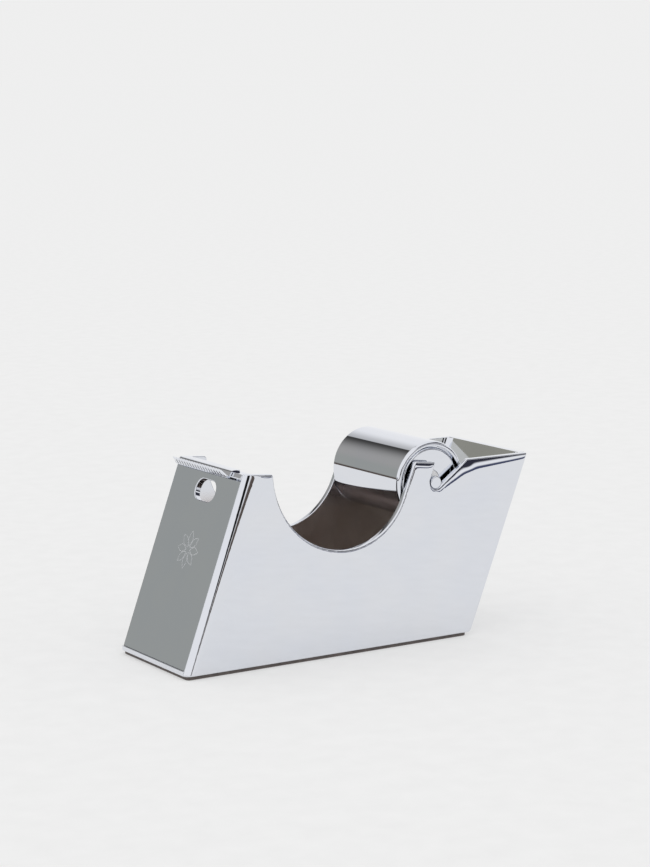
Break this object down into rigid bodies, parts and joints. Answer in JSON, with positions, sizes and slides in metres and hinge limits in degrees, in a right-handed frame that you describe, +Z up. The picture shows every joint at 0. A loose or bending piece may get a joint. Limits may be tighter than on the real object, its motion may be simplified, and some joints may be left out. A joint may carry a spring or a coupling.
{
  "type": "tape dispenser",
  "caption": "Chrome-plated desk tape dispenser: slanted box body with a deep round recess, a toothed cutter at the front and a lift-out hub for one-inch tape cores.",
  "frame": {"origin": "under the middle of the housing's length and width, on the surface it stands on", "axes": "+X to the rear, -X is the cutter end; +Y is the far side, the near side plate is at -Y; +Z up"},
  "size_m": [0.1268, 0.0414, 0.0637],
  "materials": {
    "polished_chrome": "mirror-polished chrome plate",
    "blade_steel": "bright nickel-plated spring steel",
    "ground_steel": "ground bar and machine screws",
    "ballast_iron": "blacked cast iron",
    "pad_rubber": "smooth cut sheet",
    "bush_plastic": "natural acetal"
  },
  "bodies": {
    "housing": {"near_side_plate": "polished_chrome", "far_side_plate": "polished_chrome", "front_panel": "polished_chrome", "rear_panel": "polished_chrome", "base_plate": "polished_chrome", "base_pad": "pad_rubber", "near_front_post": "ground_steel", "far_front_post": "ground_steel", "near_rear_post": "ground_steel", "far_rear_post": "ground_steel", "base_screws": "ground_steel", "ballast_block": "ballast_iron", "ballast_screws": "ground_steel", "cutter_blade": "blade_steel", "cutter_carrier": "polished_chrome", "cutter_rivets": "blade_steel"},
    "axle": {"axle": "ground_steel"},
    "hub": {"hub_sleeve": "polished_chrome", "near_hub_cap": "polished_chrome", "far_hub_cap": "polished_chrome", "near_bush": "bush_plastic", "far_bush": "bush_plastic"}
  },
  "joints": [
    {"name": "hub_lift", "type": "slide", "parent": "housing", "child": "axle", "axis": [0.342, 0, 0.9397], "range_m": [0, 0.026]},
    {"name": "hub_spin", "type": "hinge", "parent": "axle", "child": "hub", "pos_m": [0.02715, 0, 0.05097], "axis": [0, 1, 0], "continuous": true}
  ]
}
